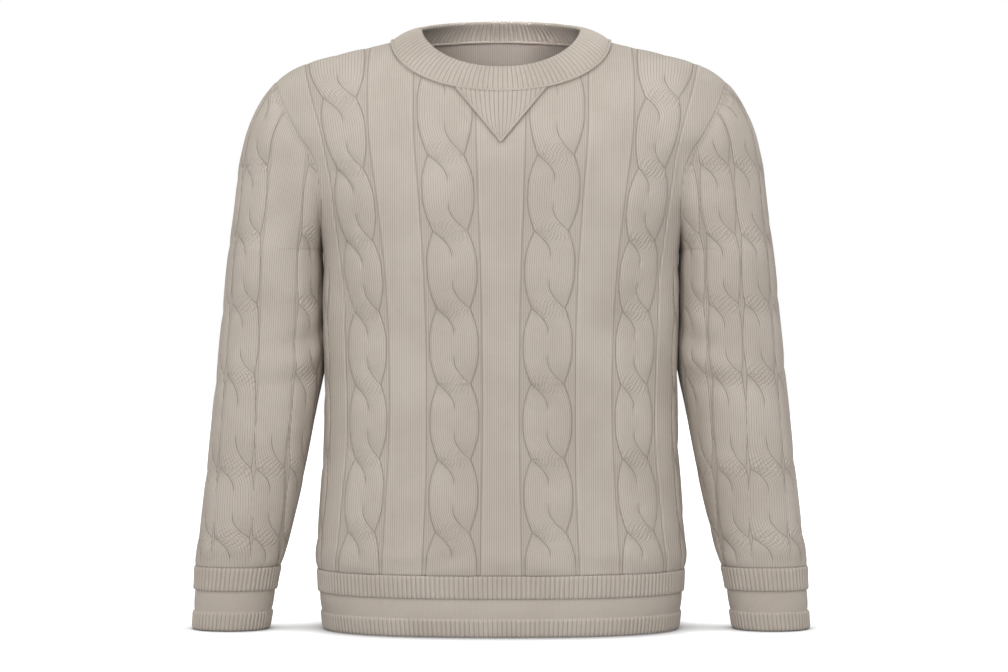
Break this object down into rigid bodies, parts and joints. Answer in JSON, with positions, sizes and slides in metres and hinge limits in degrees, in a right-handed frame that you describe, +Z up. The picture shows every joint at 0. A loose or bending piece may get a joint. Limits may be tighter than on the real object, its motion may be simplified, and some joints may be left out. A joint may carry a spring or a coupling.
{
  "type": "cable knit sweater",
  "caption": "Hollow crew-neck sweater with long set-in sleeves, cable-knit panels, ribbed V insert, and ribbed collar, cuffs and hem, filled out as if worn.",
  "frame": {"origin": "midway between the two points where the shoulder seams meet the collar, where a wearer's shoulders carry the sweater", "axes": "+Z up, front of the sweater towards -Y, the wearer's left sleeve towards +X"},
  "size_m": [0.6792, 0.2427, 0.6719],
  "materials": {
    "knit": "matt cable knit",
    "rib": "matt rib knit"
  },
  "bodies": {
    "root": {"front": "knit", "back": "knit", "sleeve_left": "knit", "sleeve_right": "knit", "hem_band": "rib", "cuff_left": "rib", "cuff_right": "rib", "neckband": "rib", "neck_insert": "rib"}
  },
  "joints": []
}
